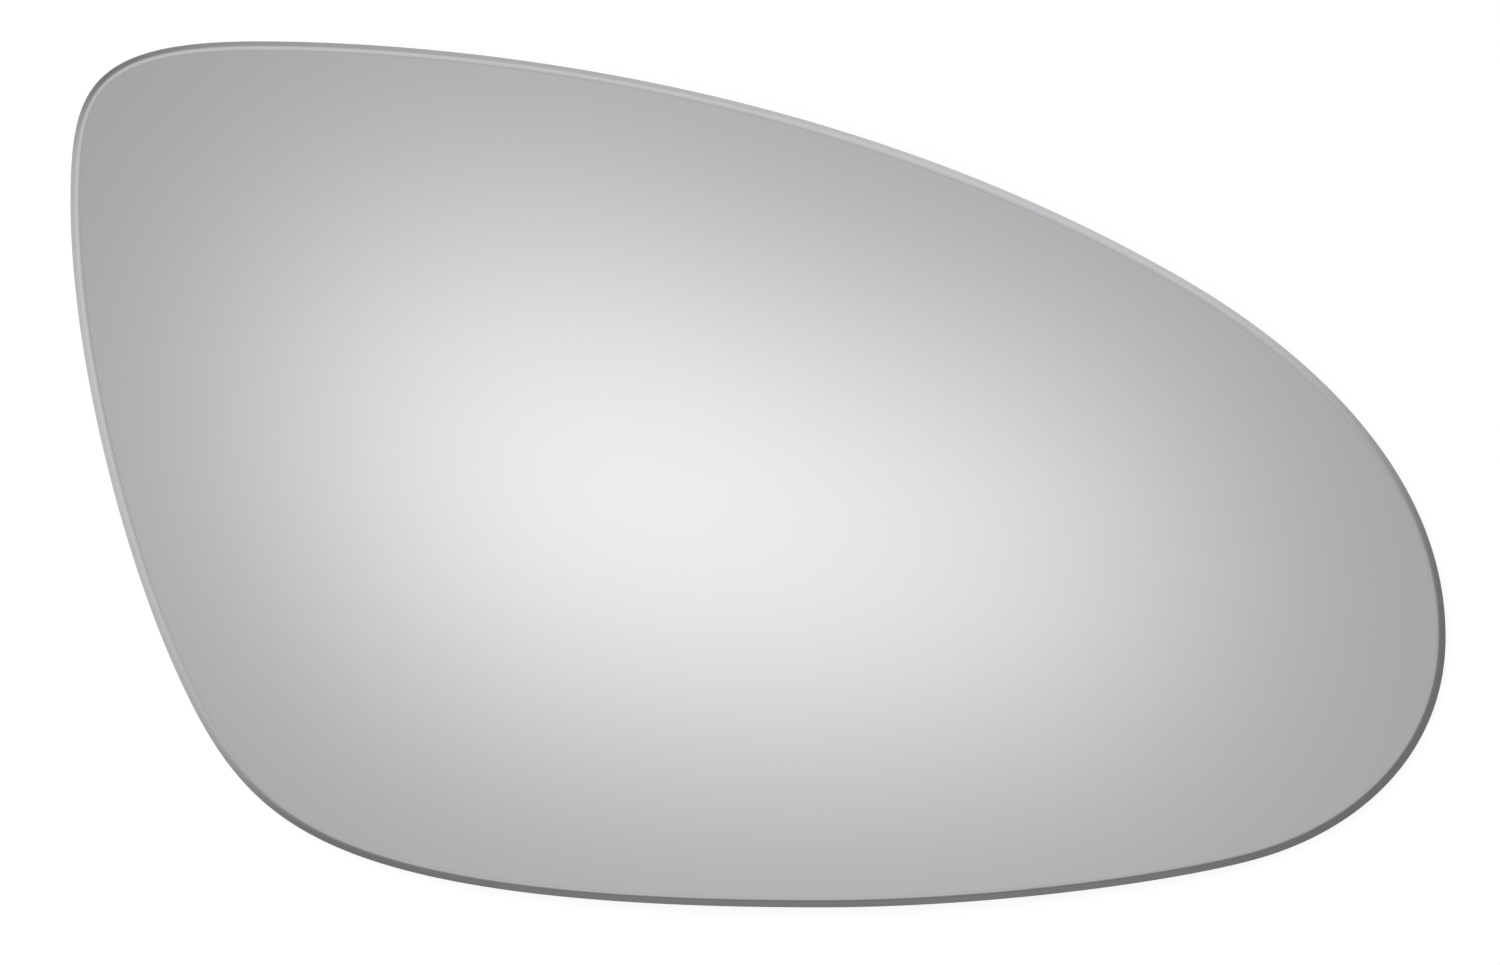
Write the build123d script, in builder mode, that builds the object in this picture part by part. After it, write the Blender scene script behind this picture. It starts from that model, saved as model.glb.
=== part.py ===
from build123d import *
import math
import os

# Driving dimensions, in millimetres and degrees

# The pane, a cut piece of sheet glass bent to a sphere
glass_length = 180.0  # left edge to right edge
glass_height = 113.3  # bottom edge to top edge
glass_thickness = 2.0
bend_radius = 1400.0  # of the mirror face

# The highest point of the bend, from the middle of the outline's box.
# It lies here when the pane rests mirror face up on three points of its rim.
crown_right = 7.6
crown_up = 24.5

# The ground edge
bevel_width = 0.9  # across the mirror face
bevel_depth = 0.36  # down the wall
bevel_ease = 2.0  # radius that blends the bevel into the mirror face
back_arris = 0.3  # seamed off the sharp back edge

# The outline, seen on the mirror face and followed clockwise from the right tip.
# Each knot has a place, a heading and the lengths of its two curve handles.
right_tip_rise = 35.3  # above the bottom edge
right_tip_handles = (23.4, 14.7)

lower_right_inset = 24.4  # in from the right edge
lower_right_rise = 6.4  # above the bottom edge
lower_right_heading = -164.0
lower_right_handles = (14.4, 10.3)

bottom_offset = 8.2  # right of the middle
bottom_handles = (22.8, 56.0)

lower_left_inset = 21.0  # in from the left edge
lower_left_rise = 18.3  # above the bottom edge
lower_left_heading = 128.5
lower_left_handles = (12.5, 16.1)

left_tip_drop = 20.9  # below the top edge
left_tip_handles = (25.2, 14.8)

top_inset = 24.3  # in from the left edge
top_handles = (22.0, 16.6)

upper_right_inset = 34.4  # in from the right edge
upper_right_drop = 31.1  # below the top edge
upper_right_heading = -30.0
upper_right_handles = (57.7, 15.0)

# The box of the outline, with the origin at its middle
right_edge = glass_length / 2
left_edge = -glass_length / 2
top_edge = glass_height / 2
bottom_edge = -glass_height / 2

# Directions in which the outline runs along its box
rightward = Axis.X.direction
upward = Axis.Y.direction
leftward = -rightward
downward = -upward


def heading(angle):
    """The direction at this angle from rightward."""
    return rightward.rotate(Axis.Z, angle)


def knot(x, y, travel, handles):
    """A point of the outline, between the ends of its incoming and outgoing handles."""
    point = Vector(x, y)
    return point - travel * handles[0], point, point + travel * handles[1]


def bow(reach, radius):
    """How far a sphere has fallen below its crown at this distance from it."""
    return radius - math.sqrt(radius**2 - reach**2)


knots = [
    knot(right_edge, bottom_edge + right_tip_rise, downward, right_tip_handles),
    knot(
        right_edge - lower_right_inset,
        bottom_edge + lower_right_rise,
        heading(lower_right_heading),
        lower_right_handles,
    ),
    knot(bottom_offset, bottom_edge, leftward, bottom_handles),
    knot(
        left_edge + lower_left_inset,
        bottom_edge + lower_left_rise,
        heading(lower_left_heading),
        lower_left_handles,
    ),
    knot(left_edge, top_edge - left_tip_drop, upward, left_tip_handles),
    knot(left_edge + top_inset, top_edge, rightward, top_handles),
    knot(
        right_edge - upper_right_inset,
        top_edge - upper_right_drop,
        heading(upper_right_heading),
        upper_right_handles,
    ),
]

# The curves of the outline stay apart, so that each has its own wall, bevel and arris.
outline = [
    Bezier(start, leave, arrive, end)
    for (_, start, leave), (arrive, end, _) in zip(knots, knots[1:] + knots[:1])
]

# The blank reaches past the pane below and above, so that the bend cuts right through its wall.
blank_spare = 2.5 * glass_thickness
blank = Plane.XY.offset(-blank_spare) * make_face(outline)

# The points of the back rim furthest from the crown are the lowest, at z = 0.
crown = Vector(crown_right, crown_up)
samples_per_curve = 200
rim_reach = max(
    (curve @ (sample / samples_per_curve) - crown).length
    for curve in outline
    for sample in range(samples_per_curve)
)
back_radius = bend_radius - glass_thickness
crown_height = glass_thickness + bow(rim_reach - back_arris, back_radius)

with BuildPart() as mirror_glass:
    extrude(blank, amount=blank_spare + crown_height + blank_spare)
    # The spheres are turned so that neither their poles nor their seams cross the pane.
    with Locations((crown_right, crown_up, crown_height - bend_radius)):
        Sphere(bend_radius, rotation=(90, 0, 0), mode=Mode.INTERSECT)
        Sphere(back_radius, rotation=(90, 0, 0), mode=Mode.SUBTRACT)

    back_face = mirror_glass.faces().filter_by(GeomType.SPHERE).sort_by(Axis.Z)[0]
    chamfer(back_face.edges(), back_arris)

    mirror_face = mirror_glass.faces().filter_by(GeomType.SPHERE).sort_by(Axis.Z)[-1]
    chamfer(mirror_face.edges(), bevel_width, bevel_depth, reference=mirror_face)

    mirror_face = mirror_glass.faces().filter_by(GeomType.SPHERE).sort_by(Axis.Z)[-1]
    fillet(mirror_face.edges(), bevel_ease)

mirror_glass.part.label = "mirror_glass"
os.makedirs("parts", exist_ok=True)
export_step(mirror_glass.part, "parts/mirror_glass.step")
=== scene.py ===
"""A car door mirror glass: a bent pane with a mirror film, a ground edge and a lacquered back."""

import math

import bpy
from bpy.props import FloatProperty, FloatVectorProperty, IntProperty, PointerProperty
from mathutils import Matrix, Vector


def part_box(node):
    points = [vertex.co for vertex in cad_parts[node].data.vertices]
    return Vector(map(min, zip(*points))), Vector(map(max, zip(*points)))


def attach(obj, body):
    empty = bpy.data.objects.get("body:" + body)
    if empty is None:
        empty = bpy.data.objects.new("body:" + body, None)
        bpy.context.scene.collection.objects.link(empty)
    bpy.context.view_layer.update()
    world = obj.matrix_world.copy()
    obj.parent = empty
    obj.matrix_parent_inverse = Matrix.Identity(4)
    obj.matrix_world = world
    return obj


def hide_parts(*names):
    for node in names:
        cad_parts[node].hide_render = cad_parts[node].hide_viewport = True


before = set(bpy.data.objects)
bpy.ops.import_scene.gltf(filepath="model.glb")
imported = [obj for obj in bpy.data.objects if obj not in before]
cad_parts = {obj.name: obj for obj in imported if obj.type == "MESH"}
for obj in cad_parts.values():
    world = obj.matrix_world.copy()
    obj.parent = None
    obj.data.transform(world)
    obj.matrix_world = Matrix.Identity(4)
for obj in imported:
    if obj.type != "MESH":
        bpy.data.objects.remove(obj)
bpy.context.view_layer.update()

bl_info = {
    "name": "Car Door Mirror Glass",
    "version": (1, 0, 0),
    "blender": (4, 5, 0),
    "location": "View3D > Sidebar > Mirror Glass",
    "description": "Makes a bent mirror pane with a ground edge, and the plain studio that it lies in",
    "category": "Object",
}

MM = 0.001


def linear(colour):
    """An sRGB hex colour as linear red, green and blue."""
    parts = [int(colour[i : i + 2], 16) / 255 for i in (1, 3, 5)]
    return [c / 12.92 if c <= 0.04045 else ((c + 0.055) / 1.055) ** 2.4 for c in parts]


def toned(colour, share=1.0):
    """A linear colour made darker or lighter by a share, with full cover."""
    return (*[min(share * c, 1) for c in colour], 1)


def add(tree, kind, inputs=None, **settings):
    """Adds a node with its settings, and gives each input a value or another node's output."""
    # Inputs go by name, or by number where several share a name.
    made = tree.nodes.new(kind)
    for name, value in settings.items():
        setattr(made, name, value)
    for key, value in (inputs or {}).items():
        if isinstance(value, bpy.types.NodeSocket):
            tree.links.new(value, made.inputs[key])
        else:
            made.inputs[key].default_value = value
    return made


class PaneSizes(bpy.types.PropertyGroup):
    """Sizes of the glass pane."""

    thickness: FloatProperty(
        name="Thickness",
        description="Thickness of the glass",
        default=2.0 * MM,
        subtype="DISTANCE",
        unit="LENGTH",
    )
    bend_radius: FloatProperty(
        name="Bend radius",
        description="Radius of the sphere that the mirror face is bent to",
        default=1400 * MM,
        subtype="DISTANCE",
        unit="LENGTH",
    )
    crown: FloatVectorProperty(
        name="Crown",
        description="Place of the highest point of the bend, from the middle of the outline",
        size=2,
        default=(7.6 * MM, 24.5 * MM),
        subtype="XYZ",
        unit="LENGTH",
    )
    bevel_width: FloatProperty(
        name="Bevel width",
        description="Width of the ground bevel across the mirror face",
        default=0.9 * MM,
        subtype="DISTANCE",
        unit="LENGTH",
    )
    bevel_depth: FloatProperty(
        name="Bevel depth",
        description="Depth of the ground bevel down the wall",
        default=0.36 * MM,
        subtype="DISTANCE",
        unit="LENGTH",
    )
    bevel_ease: FloatProperty(
        name="Bevel ease",
        description="Radius that blends the bevel into the mirror face",
        default=2.0 * MM,
        subtype="DISTANCE",
        unit="LENGTH",
    )
    back_arris: FloatProperty(
        name="Back arris",
        description="Width that is seamed off the sharp back edge",
        default=0.3 * MM,
        subtype="DISTANCE",
        unit="LENGTH",
    )
    corner_ease: FloatProperty(
        name="Corner ease",
        description="Radius left on the other ground corners",
        default=0.02 * MM,
        subtype="DISTANCE",
        unit="LENGTH",
    )
    section_step: FloatProperty(
        name="Section step",
        description="Length that the narrow runs of the section are cut into",
        default=0.15 * MM,
        subtype="DISTANCE",
        unit="LENGTH",
    )
    face_rings: IntProperty(
        name="Face rings",
        description="Rings of faces between the edge and the middle of the pane",
        default=30,
        min=4,
    )


class PaneFinish(bpy.types.PropertyGroup):
    """Colours and smoothness of the pane's surfaces."""

    film_colour: FloatVectorProperty(
        name="Mirror film",
        description="Colour of what the mirror film reflects",
        default=linear("#ECEDF0"),
        subtype="COLOR",
    )
    film_roughness: FloatProperty(
        name="Film roughness",
        description="Roughness of the mirror film where it is clean",
        default=0.03,
        subtype="FACTOR",
    )
    bevel_colour: FloatVectorProperty(
        name="Ground bevel",
        description="Colour of what the bevel reflects",
        default=linear("#EAEBED"),
        subtype="COLOR",
    )
    bevel_roughness: FloatProperty(
        name="Bevel roughness",
        description="Roughness of the ground bevel between its marks",
        default=0.08,
        subtype="FACTOR",
    )
    edge_colour: FloatVectorProperty(
        name="Bare edge",
        description="Colour of the ground glass wall",
        default=linear("#A9B9B1"),
        subtype="COLOR",
    )
    back_colour: FloatVectorProperty(
        name="Back lacquer",
        description="Colour of the lacquer on the back",
        default=linear("#6C7074"),
        subtype="COLOR",
    )


class StudioLook(bpy.types.PropertyGroup):
    """The floor, the light and the camera."""

    floor_radius: FloatProperty(
        name="Floor radius",
        description="Reach of the floor, wide enough to fill low views too",
        default=5.0,
        subtype="DISTANCE",
        unit="LENGTH",
    )
    floor_colour: FloatVectorProperty(
        name="Floor",
        description="Colour of the floor, as it lights the pane",
        default=linear("#FAFAFA"),
        subtype="COLOR",
    )
    floor_glow: FloatProperty(
        name="Floor glow",
        description="Share of white that the floor shows by itself",
        default=0.89,
        subtype="FACTOR",
    )
    shade_colour: FloatVectorProperty(
        name="Floor shade",
        description="Colour that the light adds to the floor's glow, and a shadow takes away",
        default=linear("#6C6C6C"),
        subtype="COLOR",
    )
    room_colour: FloatVectorProperty(
        name="Room",
        description="Colour of the room between the soft lights",
        default=linear("#747474"),
        subtype="COLOR",
    )
    horizon_colour: FloatVectorProperty(
        name="Horizon",
        description="Colour that the backdrop adds to the room near the floor",
        default=linear("#EAEAEA"),
        subtype="COLOR",
    )
    horizon_height: FloatProperty(
        name="Horizon height",
        description="Angle above the floor at which the backdrop has faded into the room",
        default=math.radians(38),
        subtype="ANGLE",
        unit="ROTATION",
    )
    key_strength: FloatProperty(
        name="Key light",
        description="Strength of the lamp that gives the pane its shadow",
        default=1.2,
    )
    key_azimuth: FloatProperty(
        name="Key azimuth",
        description="Angle from +X towards +Y that the lamp shines from",
        default=math.radians(130),
        subtype="ANGLE",
        unit="ROTATION",
    )
    key_elevation: FloatProperty(
        name="Key elevation",
        description="Angle above the floor that the lamp shines from",
        default=math.radians(66),
        subtype="ANGLE",
        unit="ROTATION",
    )
    key_spread: FloatProperty(
        name="Key spread",
        description="Angle across the lamp, which softens the shadow",
        default=math.radians(30),
        subtype="ANGLE",
        unit="ROTATION",
    )
    camera_place: FloatVectorProperty(
        name="Camera",
        description="Place of the camera, which looks straight down",
        size=3,
        default=(-1.05 * MM, -1.06 * MM, 1637.9 * MM),
        subtype="TRANSLATION",
        unit="LENGTH",
    )
    lens: FloatProperty(
        name="Lens",
        description="Focal length of the camera",
        default=300,
        subtype="DISTANCE_CAMERA",
        unit="CAMERA",
    )


def outline_curve(low, high):
    """The pane's outline in its box, one closed curve that runs clockwise from the right tip."""
    # Each knot has a place, a heading in degrees and the lengths of its two handles in millimetres.
    # They are the right tip, the lower right, the bottom, the lower left, the left tip, the top and
    # the upper right.
    knots = [
        (high.x, low.y + 35.3 * MM, -90, 23.4, 14.7),
        (high.x - 24.4 * MM, low.y + 6.4 * MM, -164, 14.4, 10.3),
        ((low.x + high.x) / 2 + 8.2 * MM, low.y, 180, 22.8, 56.0),
        (low.x + 21.0 * MM, low.y + 18.3 * MM, 128.5, 12.5, 16.1),
        (low.x, high.y - 20.9 * MM, 90, 25.2, 14.8),
        (low.x + 24.3 * MM, high.y, 0, 22.0, 16.6),
        (high.x - 34.4 * MM, high.y - 31.1 * MM, -30, 57.7, 15.0),
    ]
    curve = bpy.data.curves.new("outline", "CURVE")
    curve.dimensions = "3D"
    # Steps along each of the seven curves, enough for a smooth rim.
    curve.resolution_u = 96
    spline = curve.splines.new("BEZIER")
    spline.bezier_points.add(len(knots) - 1)
    spline.use_cyclic_u = True
    for point, (x, y, heading, before, after) in zip(spline.bezier_points, knots):
        travel = Vector((math.cos(math.radians(heading)), math.sin(math.radians(heading)), 0))
        point.handle_left_type = "FREE"
        point.handle_right_type = "FREE"
        point.co = (x, y, 0)
        point.handle_left = point.co - travel * before * MM
        point.handle_right = point.co + travel * after * MM
    return curve


def bevel_blend(tree, size):
    """How far in the blend of the bevel leaves the mirror face, and how deep it meets the bevel."""
    # The blend touches the face and the bevel equally far from the corner between them.
    tilt = add(
        tree, "ShaderNodeMath", {0: size["Bevel depth"], 1: size["Bevel width"]}, operation="ARCTAN2"
    ).outputs[0]
    half_tilt = add(tree, "ShaderNodeMath", {0: tilt, 1: 0.5}, operation="MULTIPLY").outputs[0]
    half_slope = add(tree, "ShaderNodeMath", {0: half_tilt}, operation="TANGENT").outputs[0]
    touch = add(
        tree, "ShaderNodeMath", {0: half_slope, 1: size["Bevel ease"]}, operation="MULTIPLY"
    ).outputs[0]
    face_inset = add(
        tree, "ShaderNodeMath", {0: touch, 1: size["Bevel width"]}, operation="ADD"
    ).outputs[0]
    tilt_sine = add(tree, "ShaderNodeMath", {0: tilt}, operation="SINE").outputs[0]
    blend_depth = add(
        tree, "ShaderNodeMath", {0: touch, 1: tilt_sine}, operation="MULTIPLY"
    ).outputs[0]
    return face_inset, blend_depth


def pane_section(tree, size, face_inset):
    """The pane's section as a curve, with its corners eased and its long runs cut up."""
    # It lies flat, with the inset from the edge as x and the depth below the face as y, and runs
    # from the back to the mirror face, so that the faces of the pane point outwards.
    index = add(tree, "GeometryNodeInputIndex").outputs[0]
    first_ring = add(
        tree, "ShaderNodeMath", {0: face_inset, 1: size["First ring"]}, operation="ADD"
    ).outputs[0]
    wall_foot = add(
        tree, "ShaderNodeMath", {0: size["Thickness"], 1: size["Back arris"]}, operation="SUBTRACT"
    ).outputs[0]
    # Each corner has its inset and depth, and the radius and steps of its ease.
    section = [
        (size["Middle"], size["Thickness"], 0.0, 1),
        (size["Back arris"], size["Thickness"], size["Corner ease"], 4),
        (0.0, wall_foot, size["Corner ease"], 4),
        (0.0, size["Bevel depth"], size["Corner ease"], 4),
        (size["Bevel width"], 0.0, size["Bevel ease"], 14),
        (first_ring, 0.0, 0.0, 1),
        (size["Middle"], 0.0, 0.0, 1),
    ]
    corners = add(tree, "GeometryNodeIndexSwitch", {"Index": index}, data_type="VECTOR")
    eases = add(tree, "GeometryNodeIndexSwitch", {"Index": index}, data_type="FLOAT")
    steps = add(tree, "GeometryNodeIndexSwitch", {"Index": index}, data_type="INT")
    for switch in (corners, eases, steps):
        # A new switch has two items.
        for _ in section[2:]:
            switch.index_switch_items.new()
    for place, (inset, depth, ease, count) in enumerate(section):
        corner = add(tree, "ShaderNodeCombineXYZ", {0: inset, 1: depth}).outputs[0]
        tree.links.new(corner, corners.inputs[str(place)])
        if isinstance(ease, bpy.types.NodeSocket):
            tree.links.new(ease, eases.inputs[str(place)])
        steps.inputs[str(place)].default_value = count
    points = add(
        tree, "GeometryNodePoints", {"Count": len(section), "Position": corners.outputs[0]}
    ).outputs[0]
    line = add(tree, "GeometryNodePointsToCurves", {"Points": points, "Weight": index}).outputs[0]
    eased = add(
        tree,
        "GeometryNodeFilletCurve",
        {"Curve": line, "Count": steps.outputs[0], "Radius": eases.outputs[0]},
        mode="POLY",
    ).outputs[0]

    # Long runs are cut up, the two faces of the pane into no more than their rings.
    here = add(tree, "GeometryNodeInputPosition").outputs[0]
    after = add(tree, "ShaderNodeMath", {0: index, 1: 1.0}, operation="ADD").outputs[0]
    there = add(
        tree, "GeometryNodeFieldAtIndex", {"Value": here, "Index": after}, data_type="FLOAT_VECTOR"
    ).outputs[0]
    run = add(
        tree, "ShaderNodeVectorMath", {0: here, 1: there}, operation="DISTANCE"
    ).outputs["Value"]
    wanted = add(
        tree, "ShaderNodeMath", {0: run, 1: size["Section step"]}, operation="DIVIDE"
    ).outputs[0]
    cuts = add(
        tree, "ShaderNodeMath", {0: wanted, 1: size["Face rings"]}, operation="MINIMUM"
    ).outputs[0]
    return add(tree, "GeometryNodeSubdivideCurve", {"Curve": eased, "Cuts": cuts}).outputs[0]


def carried_round(tree, outline, section):
    """The section carried round the outline, with what each point keeps of the two curves."""
    here = add(tree, "GeometryNodeInputPosition").outputs[0]
    along = add(tree, "GeometryNodeSplineParameter").outputs["Length"]
    keep_section = add(tree, "GeometryNodeCaptureAttribute", {"Geometry": section})
    keep_section.capture_items.new("VECTOR", "Section")
    keep_section.capture_items.new("FLOAT", "Across")
    tree.links.new(here, keep_section.inputs["Section"])
    tree.links.new(along, keep_section.inputs["Across"])

    travel = add(tree, "GeometryNodeInputTangent").outputs[0]
    points = add(tree, "GeometryNodeResampleCurve", {"Curve": outline}, mode="EVALUATED").outputs[0]
    keep_outline = add(tree, "GeometryNodeCaptureAttribute", {"Geometry": points})
    keep_outline.capture_items.new("VECTOR", "Place")
    keep_outline.capture_items.new("VECTOR", "Travel")
    tree.links.new(here, keep_outline.inputs["Place"])
    tree.links.new(travel, keep_outline.inputs["Travel"])
    sweep = add(
        tree,
        "GeometryNodeCurveToMesh",
        {"Curve": keep_outline.outputs[0], "Profile Curve": keep_section.outputs[0]},
    ).outputs[0]
    at = add(tree, "ShaderNodeSeparateXYZ", {0: keep_section.outputs["Section"]}).outputs
    kept = {
        "Inset": at["X"],
        "Depth": at["Y"],
        "Across": keep_section.outputs["Across"],
        "Place": keep_outline.outputs["Place"],
        "Travel": keep_outline.outputs["Travel"],
    }
    return sweep, kept


def bent_place(tree, size, kept, face_inset):
    """The place of each point on the bent pane, with the crown of the mirror face at height zero."""
    # Near the edge a point lies at its inset; from there to the middle, at its share of the way.
    inset = add(
        tree, "ShaderNodeMath", {0: kept["Inset"], 1: face_inset}, operation="MINIMUM"
    ).outputs[0]
    share = add(
        tree,
        "ShaderNodeMapRange",
        {
            "Value": kept["Inset"],
            "From Min": face_inset,
            "From Max": size["Middle"],
            "To Min": 1.0,
            "To Max": 0.0,
        },
    ).outputs[0]
    outward = add(
        tree, "ShaderNodeVectorMath", {0: (0, 0, 1), 1: kept["Travel"]}, operation="CROSS_PRODUCT"
    ).outputs[0]
    outward = add(tree, "ShaderNodeVectorMath", {0: outward}, operation="NORMALIZE").outputs[0]
    inward = add(
        tree, "ShaderNodeVectorMath", {0: outward, "Scale": inset}, operation="SCALE"
    ).outputs[0]
    rim = add(
        tree, "ShaderNodeVectorMath", {0: kept["Place"], 1: inward}, operation="SUBTRACT"
    ).outputs[0]
    flat = add(tree, "ShaderNodeVectorMath", {0: rim, "Scale": share}, operation="SCALE").outputs[0]

    # The bow below the crown, written so that it stays exact for a radius this long.
    off_crown = add(
        tree, "ShaderNodeVectorMath", {0: flat, 1: size["Crown"]}, operation="SUBTRACT"
    ).outputs[0]
    reach_square = add(
        tree, "ShaderNodeVectorMath", {0: off_crown, 1: off_crown}, operation="DOT_PRODUCT"
    ).outputs["Value"]
    radius = add(
        tree, "ShaderNodeMath", {0: size["Bend radius"], 1: kept["Depth"]}, operation="SUBTRACT"
    ).outputs[0]
    radius_square = add(tree, "ShaderNodeMath", {0: radius, 1: radius}, operation="MULTIPLY").outputs[0]
    upright_square = add(
        tree, "ShaderNodeMath", {0: radius_square, 1: reach_square}, operation="SUBTRACT"
    ).outputs[0]
    upright = add(tree, "ShaderNodeMath", {0: upright_square}, operation="SQRT").outputs[0]
    span = add(tree, "ShaderNodeMath", {0: radius, 1: upright}, operation="ADD").outputs[0]
    bow = add(tree, "ShaderNodeMath", {0: reach_square, 1: span}, operation="DIVIDE").outputs[0]
    drop = add(tree, "ShaderNodeMath", {0: kept["Depth"], 1: bow}, operation="ADD").outputs[0]
    height = add(tree, "ShaderNodeMath", {0: 0.0, 1: drop}, operation="SUBTRACT").outputs[0]
    spread = add(tree, "ShaderNodeSeparateXYZ", {0: flat}).outputs
    return add(tree, "ShaderNodeCombineXYZ", {0: spread["X"], 1: spread["Y"], 2: height}).outputs[0]


def laid_down(tree, pane):
    """The pane lifted until the lowest points of its rim touch the floor."""
    lowest = add(tree, "GeometryNodeBoundBox", {"Geometry": pane}).outputs["Min"]
    lowest = add(tree, "ShaderNodeSeparateXYZ", {0: lowest}).outputs["Z"]
    lift = add(tree, "ShaderNodeMath", {0: 0.0, 1: lowest}, operation="SUBTRACT").outputs[0]
    lift = add(tree, "ShaderNodeCombineXYZ", {2: lift}).outputs[0]
    return add(tree, "GeometryNodeSetPosition", {"Geometry": pane, "Offset": lift}).outputs[0]


def smoothed(tree, pane):
    """The pane with smooth faces, and with its ground corners left crisp."""
    # The blend of the bevel turns by less than this from face to face, and the corners by more.
    crisp_turn = math.radians(7)
    pane = add(tree, "GeometryNodeSetShadeSmooth", {"Geometry": pane}).outputs[0]
    turn = add(tree, "GeometryNodeInputMeshEdgeAngle").outputs["Unsigned Angle"]
    crisp = add(
        tree, "FunctionNodeCompare", {0: turn, 1: crisp_turn}, operation="GREATER_THAN"
    ).outputs[0]
    return add(
        tree,
        "GeometryNodeSetShadeSmooth",
        {"Geometry": pane, "Selection": crisp, "Shade Smooth": False},
        domain="EDGE",
    ).outputs[0]


def coated(tree, size, pane, depth, blend_depth):
    """The pane with its materials, the film first and then those that start further down the wall."""
    # The lacquer reaches this far up the eased corner round the back.
    lacquer_rise = 0.004 * MM
    back_depth = add(
        tree, "ShaderNodeMath", {0: size["Thickness"], 1: lacquer_rise}, operation="SUBTRACT"
    ).outputs[0]
    pane = add(
        tree, "GeometryNodeSetMaterial", {"Geometry": pane, "Material": size["Mirror film"]}
    ).outputs[0]
    for name, start in [
        ("Ground bevel", blend_depth),
        ("Bare edge", size["Bevel depth"]),
        ("Back lacquer", back_depth),
    ]:
        below = add(
            tree, "FunctionNodeCompare", {0: depth, 1: start}, operation="GREATER_THAN"
        ).outputs[0]
        pane = add(
            tree,
            "GeometryNodeSetMaterial",
            {"Geometry": pane, "Selection": below, "Material": size[name]},
        ).outputs[0]
    return pane


def pane_tree():
    """A tree that carries the pane's section round its outline and bends it to the sphere."""
    tree = bpy.data.node_groups.new("bent_pane", "GeometryNodeTree")
    for name, kind in [
        ("Outline", "NodeSocketGeometry"),
        ("Thickness", "NodeSocketFloat"),
        ("Bend radius", "NodeSocketFloat"),
        ("Crown", "NodeSocketVector"),
        ("Bevel width", "NodeSocketFloat"),
        ("Bevel depth", "NodeSocketFloat"),
        ("Bevel ease", "NodeSocketFloat"),
        ("Back arris", "NodeSocketFloat"),
        ("Corner ease", "NodeSocketFloat"),
        ("Middle", "NodeSocketFloat"),
        ("Section step", "NodeSocketFloat"),
        ("First ring", "NodeSocketFloat"),
        ("Face rings", "NodeSocketInt"),
        ("Mirror film", "NodeSocketMaterial"),
        ("Ground bevel", "NodeSocketMaterial"),
        ("Bare edge", "NodeSocketMaterial"),
        ("Back lacquer", "NodeSocketMaterial"),
    ]:
        tree.interface.new_socket(name, in_out="INPUT", socket_type=kind)
    tree.interface.new_socket("Pane", in_out="OUTPUT", socket_type="NodeSocketGeometry")
    size = add(tree, "NodeGroupInput").outputs

    face_inset, blend_depth = bevel_blend(tree, size)
    section = pane_section(tree, size, face_inset)
    sweep, kept = carried_round(tree, size["Outline"], section)
    place = bent_place(tree, size, kept, face_inset)
    bent = add(tree, "GeometryNodeSetPosition", {"Geometry": sweep, "Position": place}).outputs[0]
    # The section's ends meet in the middle of each face.
    closed = add(
        tree, "GeometryNodeMergeByDistance", {"Geometry": bent, "Distance": 0.001 * MM}
    ).outputs[0]
    smooth = smoothed(tree, laid_down(tree, closed))
    named = add(
        tree,
        "GeometryNodeStoreNamedAttribute",
        {"Geometry": smooth, "Name": "across", "Value": kept["Across"]},
        data_type="FLOAT",
        domain="POINT",
    ).outputs[0]
    real = add(tree, "GeometryNodeRealizeInstances", {"Geometry": named}).outputs[0]
    add(tree, "NodeGroupOutput", {"Pane": coated(tree, size, real, kept["Depth"], blend_depth)})
    return tree


def new_material(name):
    """A material with an empty node tree."""
    material = bpy.data.materials.new(name)
    material.use_nodes = True
    material.node_tree.nodes.clear()
    return material


def mirror_film(finish):
    """Chromium film sputtered on bent float glass."""
    # A clear reflection, dulled a little where the glass was wiped, with the faint
    # waviness that bending leaves in float glass.
    material = new_material("sputtered_chromium_film")
    tree = material.node_tree
    place = add(tree, "ShaderNodeTexCoord").outputs["Object"]
    # Wiping strokes are some 40 mm long and 8 mm wide.
    stroke = add(
        tree,
        "ShaderNodeMapping",
        {"Vector": place, "Rotation": (0, 0, math.radians(24)), "Scale": (1 / 40, 1 / 8, 1 / 8)},
    ).outputs[0]
    wipe = add(
        tree,
        "ShaderNodeTexNoise",
        {"Vector": stroke, "Scale": 1 / MM, "Detail": 3.0, "Roughness": 0.55},
    ).outputs["Fac"]
    clean = finish.film_roughness
    roughness = add(
        tree,
        "ShaderNodeMapRange",
        {"Value": wipe, "From Min": 0.35, "From Max": 0.7, "To Min": clean, "To Max": clean + 0.02},
    ).outputs[0]
    haze = add(
        tree,
        "ShaderNodeMapRange",
        {"Value": wipe, "From Min": 0.3, "From Max": 0.8, "To Min": 0.0, "To Max": 0.12},
    ).outputs[0]
    colour = add(
        tree,
        "ShaderNodeMix",
        {0: haze, 6: toned(finish.film_colour), 7: toned(finish.film_colour, 0.97)},
        data_type="RGBA",
    ).outputs[2]
    # The waves are about 35 mm long and a tenth of a micrometre high.
    wave = add(
        tree, "ShaderNodeTexNoise", {"Vector": place, "Scale": 1 / (35 * MM), "Detail": 0.0}
    ).outputs["Fac"]
    wavy = add(
        tree, "ShaderNodeBump", {"Height": wave, "Distance": 0.0001 * MM, "Strength": 1.0}
    ).outputs[0]
    shader = add(
        tree,
        "ShaderNodeBsdfPrincipled",
        {"Base Color": colour, "Metallic": 1.0, "Roughness": roughness, "Normal": wavy},
    )
    add(tree, "ShaderNodeOutputMaterial", {"Surface": shader.outputs[0]})
    return material


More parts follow.
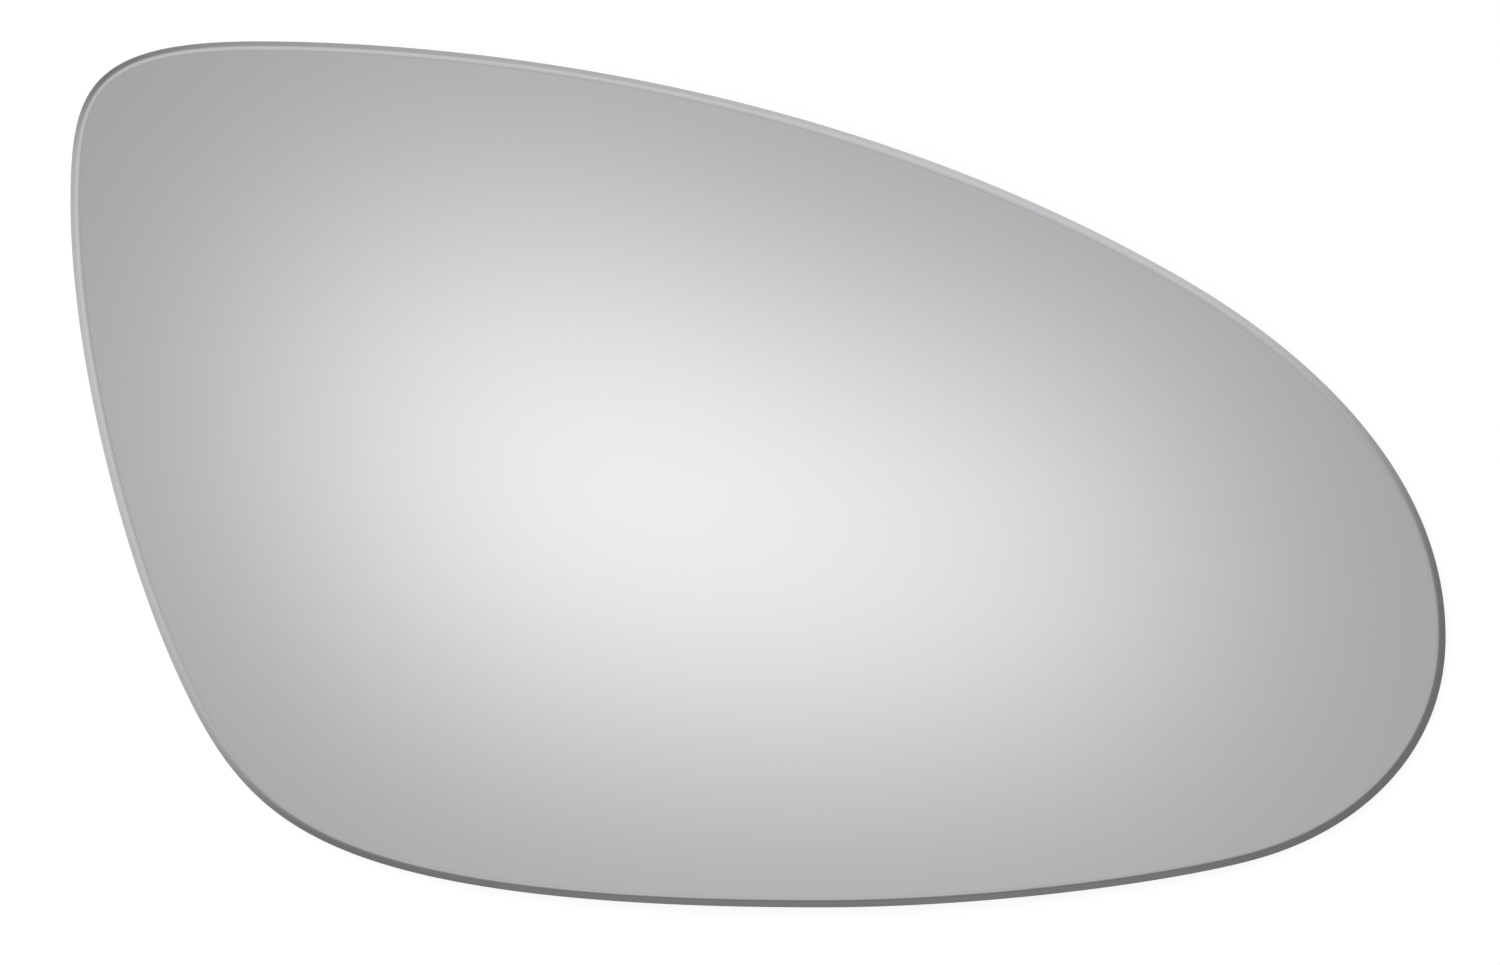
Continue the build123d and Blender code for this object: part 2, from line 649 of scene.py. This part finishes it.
def ground_bevel(finish):
    """Chromium film over a bevel that was ground and smoothed."""
    # A satin sheen with marks along the edge, where the wheel ran.
    material = new_material("film_on_ground_bevel")
    tree = material.node_tree
    place = add(tree, "ShaderNodeTexCoord").outputs["Object"]
    across = add(tree, "ShaderNodeAttribute", attribute_name="across").outputs["Fac"]
    # Marks of the wheel are 0.02 mm wide; they are drawn 0.12 mm wide and 12 mm long, so as to show.
    flat = add(tree, "ShaderNodeSeparateXYZ", {0: place}).outputs
    lengthwise = [
        add(tree, "ShaderNodeMath", {0: flat[axis], 1: 1 / (12 * MM)}, operation="MULTIPLY").outputs[0]
        for axis in ("X", "Y")
    ]
    crosswise = add(
        tree, "ShaderNodeMath", {0: across, 1: 1 / (0.12 * MM)}, operation="MULTIPLY"
    ).outputs[0]
    run = add(
        tree, "ShaderNodeCombineXYZ", {0: lengthwise[0], 1: lengthwise[1], 2: crosswise}
    ).outputs[0]
    marks = add(
        tree, "ShaderNodeTexNoise", {"Vector": run, "Scale": 1.0, "Detail": 2.0, "Roughness": 0.6}
    ).outputs["Fac"]
    smooth = finish.bevel_roughness
    roughness = add(
        tree,
        "ShaderNodeMapRange",
        {"Value": marks, "From Min": 0.3, "From Max": 0.7, "To Min": smooth, "To Max": smooth + 0.05},
    ).outputs[0]
    shade = add(
        tree, "ShaderNodeMapRange", {"Value": marks, "From Min": 0.35, "From Max": 0.8}
    ).outputs[0]
    colour = add(
        tree,
        "ShaderNodeMix",
        {0: shade, 6: toned(finish.bevel_colour), 7: toned(finish.bevel_colour, 0.94)},
        data_type="RGBA",
    ).outputs[2]
    scored = add(
        tree, "ShaderNodeBump", {"Height": marks, "Distance": 0.0015 * MM, "Strength": 1.0}
    ).outputs[0]
    shader = add(
        tree,
        "ShaderNodeBsdfPrincipled",
        {"Base Color": colour, "Metallic": 1.0, "Roughness": roughness, "Normal": scored},
    )
    add(tree, "ShaderNodeOutputMaterial", {"Surface": shader.outputs[0]})
    return material


def bare_edge(finish):
    """Float glass seamed with a diamond belt."""
    # Ground glass scatters light, so the wall looks pale and frosted, with the green of the sheet.
    material = new_material("seamed_float_glass")
    tree = material.node_tree
    place = add(tree, "ShaderNodeTexCoord").outputs["Object"]
    # The grit is 0.04 mm and is drawn at 0.15 mm, so as to show.
    grit = add(
        tree,
        "ShaderNodeTexNoise",
        {"Vector": place, "Scale": 1 / (0.15 * MM), "Detail": 3.0, "Roughness": 0.65},
    ).outputs["Fac"]
    frost = add(
        tree, "ShaderNodeMapRange", {"Value": grit, "From Min": 0.3, "From Max": 0.7}
    ).outputs[0]
    colour = add(
        tree,
        "ShaderNodeMix",
        {0: frost, 6: toned(finish.edge_colour, 0.8), 7: toned(finish.edge_colour, 1.12)},
        data_type="RGBA",
    ).outputs[2]
    roughness = add(
        tree,
        "ShaderNodeMapRange",
        {"Value": grit, "From Min": 0.3, "From Max": 0.7, "To Min": 0.42, "To Max": 0.62},
    ).outputs[0]
    rough = add(
        tree, "ShaderNodeBump", {"Height": grit, "Distance": 0.015 * MM, "Strength": 0.7}
    ).outputs[0]
    shader = add(
        tree,
        "ShaderNodeBsdfPrincipled",
        {"Base Color": colour, "Roughness": roughness, "IOR": 1.52, "Normal": rough},
    )
    add(tree, "ShaderNodeOutputMaterial", {"Surface": shader.outputs[0]})
    return material


def back_lacquer(finish):
    """Alkyd lacquer, curtain coated and baked."""
    # An even grey semi-gloss with fine orange peel and a slightly cloudy coat.
    material = new_material("baked_alkyd_lacquer")
    tree = material.node_tree
    place = add(tree, "ShaderNodeTexCoord").outputs["Object"]
    # The clouds are about 18 mm across.
    cloud = add(
        tree, "ShaderNodeTexNoise", {"Vector": place, "Scale": 1 / (18 * MM), "Detail": 3.0}
    ).outputs["Fac"]
    colour = add(
        tree,
        "ShaderNodeMix",
        {0: cloud, 6: toned(finish.back_colour, 0.92), 7: toned(finish.back_colour, 1.08)},
        data_type="RGBA",
    ).outputs[2]
    roughness = add(
        tree,
        "ShaderNodeMapRange",
        {"Value": cloud, "From Min": 0.3, "From Max": 0.7, "To Min": 0.36, "To Max": 0.46},
    ).outputs[0]
    # Orange peel of a curtain coat is about 1.2 mm from crest to crest.
    peel = add(
        tree, "ShaderNodeTexNoise", {"Vector": place, "Scale": 1 / (1.2 * MM), "Detail": 1.0}
    ).outputs["Fac"]
    peeled = add(
        tree, "ShaderNodeBump", {"Height": peel, "Distance": 0.012 * MM, "Strength": 0.8}
    ).outputs[0]
    shader = add(
        tree,
        "ShaderNodeBsdfPrincipled",
        {"Base Color": colour, "Roughness": roughness, "IOR": 1.5, "Normal": peeled},
    )
    add(tree, "ShaderNodeOutputMaterial", {"Surface": shader.outputs[0]})
    return material


class MIRROR_GLASS_OT_pane(bpy.types.Operator):
    """Make the bent pane with its film, ground edge and back"""

    bl_idname = "mirror_glass.pane"
    bl_label = "Make the pane"

    def execute(self, context):
        sizes = context.scene.mirror_pane
        finish = context.scene.mirror_finish
        low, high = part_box("mirror_glass")
        maker = bpy.data.objects.new("outline", outline_curve(low, high))
        context.scene.collection.objects.link(maker)
        tree = pane_tree()
        values = {
            "Thickness": sizes.thickness,
            "Bend radius": sizes.bend_radius,
            "Crown": (*sizes.crown, 0),
            "Bevel width": sizes.bevel_width,
            "Bevel depth": sizes.bevel_depth,
            "Bevel ease": sizes.bevel_ease,
            "Back arris": sizes.back_arris,
            "Corner ease": sizes.corner_ease,
            "Middle": (high.y - low.y) / 2,
            "Section step": sizes.section_step,
            "First ring": 0.1 * MM,
            "Face rings": sizes.face_rings,
            "Mirror film": mirror_film(finish),
            "Ground bevel": ground_bevel(finish),
            "Bare edge": bare_edge(finish),
            "Back lacquer": back_lacquer(finish),
        }
        modifier = maker.modifiers.new("bent_pane", "NODES")
        modifier.node_group = tree
        for socket in tree.interface.items_tree:
            if socket.in_out == "INPUT" and socket.name in values:
                modifier[socket.identifier] = values[socket.name]
        context.view_layer.update()
        evaluated = maker.evaluated_get(context.evaluated_depsgraph_get())
        mesh = bpy.data.meshes.new_from_object(evaluated)
        mesh.name = "pane"
        curve = maker.data
        bpy.data.objects.remove(maker)
        bpy.data.curves.remove(curve)
        pane = bpy.data.objects.new("pane", mesh)
        context.scene.collection.objects.link(pane)
        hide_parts("mirror_glass")
        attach(pane, "root")
        return {"FINISHED"}


def soft_panel():
    """A node group for a panel of light that fades softly from its middle."""
    tree = bpy.data.node_groups.new("soft_panel", "ShaderNodeTree")
    tree.interface.new_socket("Turn", in_out="INPUT", socket_type="NodeSocketVector")
    tree.interface.new_socket("Narrowness", in_out="INPUT", socket_type="NodeSocketVector")
    tree.interface.new_socket("Light", in_out="INPUT", socket_type="NodeSocketVector")
    tree.interface.new_socket("Glow", in_out="OUTPUT", socket_type="NodeSocketVector")
    given = add(tree, "NodeGroupInput").outputs
    way = add(tree, "ShaderNodeTexCoord").outputs["Generated"]
    turned = add(
        tree,
        "ShaderNodeVectorRotate",
        {"Vector": way, "Rotation": given["Turn"]},
        rotation_type="EULER_XYZ",
        invert=True,
    ).outputs[0]
    # A panel shows only in its own half of the room.
    barely_ahead = 0.02
    ahead = add(tree, "ShaderNodeSeparateXYZ", {0: turned}).outputs["Z"]
    facing = add(tree, "ShaderNodeMath", {0: ahead, 1: barely_ahead}, operation="GREATER_THAN").outputs[0]
    ahead = add(tree, "ShaderNodeMath", {0: ahead, 1: barely_ahead}, operation="MAXIMUM").outputs[0]
    nearness = add(tree, "ShaderNodeMath", {0: 1.0, 1: ahead}, operation="DIVIDE").outputs[0]
    flat = add(
        tree, "ShaderNodeVectorMath", {0: turned, "Scale": nearness}, operation="SCALE"
    ).outputs[0]
    flat = add(
        tree, "ShaderNodeVectorMath", {0: flat, 1: given["Narrowness"]}, operation="MULTIPLY"
    ).outputs[0]
    fall = add(
        tree, "ShaderNodeVectorMath", {0: flat, 1: flat}, operation="DOT_PRODUCT"
    ).outputs["Value"]
    fall = add(tree, "ShaderNodeMath", {0: fall, 1: -1.0}, operation="MULTIPLY").outputs[0]
    share = add(tree, "ShaderNodeMath", {0: fall}, operation="EXPONENT").outputs[0]
    share = add(tree, "ShaderNodeMath", {0: share, 1: facing}, operation="MULTIPLY").outputs[0]
    glow = add(
        tree, "ShaderNodeVectorMath", {0: given["Light"], "Scale": share}, operation="SCALE"
    ).outputs[0]
    add(tree, "NodeGroupOutput", {"Glow": glow})
    return tree


def studio_world(look):
    """A grey room above a pale backdrop, with soft panels of light overhead and round the pane."""
    world = bpy.data.worlds.new("studio")
    world.use_nodes = True
    tree = world.node_tree
    tree.nodes.clear()

    # The backdrop is white along the floor and fades into the room higher up.
    way = add(tree, "ShaderNodeTexCoord").outputs["Generated"]
    rise = add(tree, "ShaderNodeSeparateXYZ", {0: way}).outputs["Z"]
    share = add(
        tree,
        "ShaderNodeMapRange",
        {"Value": rise, "From Max": math.sin(look.horizon_height), "To Min": 1.0, "To Max": 0.0},
        interpolation_type="SMOOTHSTEP",
    ).outputs[0]
    backdrop = add(
        tree,
        "ShaderNodeVectorMath",
        {0: tuple(look.horizon_colour), "Scale": share},
        operation="SCALE",
    ).outputs[0]
    light = add(
        tree, "ShaderNodeVectorMath", {0: tuple(look.room_colour), 1: backdrop}, operation="ADD"
    ).outputs[0]

    # Each panel has an azimuth, an elevation and a roll, then how far it reaches sideways and upwards
    # until it has faded to about a third, all in degrees, and its brightness and colour.
    panels = [
        # Two small ones overhead, which make the bright middle of the mirror.
        (-45, 85.5, -65, 5.0, 4.4, 0.37, "#FFFEFB"),
        (-150, 85.9, -60, 4.8, 6.0, 0.61, "#FFFEFB"),
        # Three dim ones high over the lower and the upper edge.
        (-55, 74, 0, 22, 8, 0.23, "#FFFFFF"),
        (-110, 73, 0, 16, 9, 0.22, "#FFFFFF"),
        (65, 79, 0, 23, 13, 0.20, "#FFFFFF"),
        # Large ones beyond the upper and the left edge, which light the bevel there.
        (60, 47, 0, 25, 29, 0.48, "#FFFFFF"),
        (190, 45, 0, 22, 31, 0.46, "#FFFFFF"),
        # A faint one beyond the lower edge, and one beyond the upper left corner.
        (-90, 42, 0, 15, 8, 0.06, "#FFFFFF"),
        (125, 58, 0, 25, 15, 0.33, "#FFFFFF"),
    ]
    panel = soft_panel()
    for azimuth, elevation, roll, sideways, upwards, brightness, colour in panels:
        turn = (
            Matrix.Rotation(math.radians(azimuth), 3, "Z")
            @ Matrix.Rotation(math.radians(90 - elevation), 3, "Y")
            @ Matrix.Rotation(math.radians(90 + roll), 3, "Z")
        )
        narrowness = [1 / math.tan(math.radians(reach)) for reach in (sideways, upwards)]
        glow = add(
            tree,
            "ShaderNodeGroup",
            {
                "Turn": turn.to_euler("XYZ"),
                "Narrowness": (*narrowness, 0),
                "Light": [brightness * c for c in linear(colour)],
            },
            node_tree=panel,
        ).outputs[0]
        light = add(tree, "ShaderNodeVectorMath", {0: light, 1: glow}, operation="ADD").outputs[0]
    background = add(tree, "ShaderNodeBackground", {"Color": light, "Strength": 1.0}).outputs[0]
    add(tree, "ShaderNodeOutputWorld", {"Surface": background})
    return world


def paper_floor(look):
    """White studio paper, seen as white and shaded only a little by what lies on it."""
    material = new_material("white_studio_paper")
    tree = material.node_tree
    rays = add(tree, "ShaderNodeLightPath").outputs
    seen = add(
        tree,
        "ShaderNodeMath",
        {0: rays["Is Camera Ray"], 1: rays["Is Glossy Ray"]},
        operation="MAXIMUM",
    ).outputs[0]
    seen = add(
        tree, "ShaderNodeMath", {0: seen, 1: rays["Is Transmission Ray"]}, operation="MAXIMUM"
    ).outputs[0]
    paper = add(tree, "ShaderNodeBsdfDiffuse", {"Color": toned(look.floor_colour)}).outputs[0]
    shaded = add(tree, "ShaderNodeBsdfDiffuse", {"Color": toned(look.shade_colour)}).outputs[0]
    white = add(tree, "ShaderNodeEmission", {"Strength": look.floor_glow}).outputs[0]
    bright = add(tree, "ShaderNodeAddShader", {0: shaded, 1: white}).outputs[0]
    mixed = add(tree, "ShaderNodeMixShader", {0: seen, 1: paper, 2: bright}).outputs[0]
    add(tree, "ShaderNodeOutputMaterial", {"Surface": mixed})
    return material


class MIRROR_GLASS_OT_studio(bpy.types.Operator):
    """Make the floor, the light and the camera"""

    bl_idname = "mirror_glass.studio"
    bl_label = "Make the studio"

    def execute(self, context):
        scene = context.scene
        look = scene.mirror_studio

        corners = 96
        turns = [2 * math.pi * i / corners for i in range(corners)]
        rim = [(look.floor_radius * math.cos(t), look.floor_radius * math.sin(t), 0) for t in turns]
        mesh = bpy.data.meshes.new("floor")
        mesh.from_pydata(rim, [], [list(range(corners))])
        mesh.materials.append(paper_floor(look))
        floor = bpy.data.objects.new("floor", mesh)
        scene.collection.objects.link(floor)

        scene.world = studio_world(look)

        # A wide soft lamp from the upper left throws the short shadow on the lower right.
        lamp = bpy.data.lights.new("key_light", "SUN")
        lamp.energy = look.key_strength
        lamp.angle = look.key_spread
        key = bpy.data.objects.new("key_light", lamp)
        outwards = math.cos(look.key_elevation)
        toward = Vector(
            (
                outwards * math.cos(look.key_azimuth),
                outwards * math.sin(look.key_azimuth),
                math.sin(look.key_elevation),
            )
        )
        key.rotation_euler = toward.to_track_quat("Z", "Y").to_euler()
        # The panels already give the pane its reflections.
        key.visible_glossy = False
        scene.collection.objects.link(key)

        # An unturned camera looks straight down, with the picture's upper side towards +Y.
        view = bpy.data.cameras.new("camera")
        view.lens = look.lens
        camera = bpy.data.objects.new("camera", view)
        camera.location = look.camera_place
        scene.collection.objects.link(camera)
        scene.camera = camera
        scene.view_settings.view_transform = "Standard"
        return {"FINISHED"}


class MIRROR_GLASS_PT_sidebar(bpy.types.Panel):
    """Lists the pane's sizes and finishes, and the studio."""

    bl_idname = "MIRROR_GLASS_PT_sidebar"
    bl_label = "Mirror Glass"
    bl_space_type = "VIEW_3D"
    bl_region_type = "UI"
    bl_category = "Mirror Glass"

    def draw(self, context):
        scene = context.scene
        for operator, groups in [
            ("mirror_glass.pane", (scene.mirror_pane, scene.mirror_finish)),
            ("mirror_glass.studio", (scene.mirror_studio,)),
        ]:
            box = self.layout.box()
            for group in groups:
                for name in group.__annotations__:
                    box.prop(group, name)
            box.operator(operator)


CLASSES = (
    PaneSizes,
    PaneFinish,
    StudioLook,
    MIRROR_GLASS_OT_pane,
    MIRROR_GLASS_OT_studio,
    MIRROR_GLASS_PT_sidebar,
)


def register():
    for cls in CLASSES:
        bpy.utils.register_class(cls)
    bpy.types.Scene.mirror_pane = PointerProperty(type=PaneSizes)
    bpy.types.Scene.mirror_finish = PointerProperty(type=PaneFinish)
    bpy.types.Scene.mirror_studio = PointerProperty(type=StudioLook)


def unregister():
    del bpy.types.Scene.mirror_studio
    del bpy.types.Scene.mirror_finish
    del bpy.types.Scene.mirror_pane
    for cls in reversed(CLASSES):
        bpy.utils.unregister_class(cls)


def main():
    register()
    bpy.ops.mirror_glass.pane()
    bpy.ops.mirror_glass.studio()


if __name__ == "__main__":
    main()
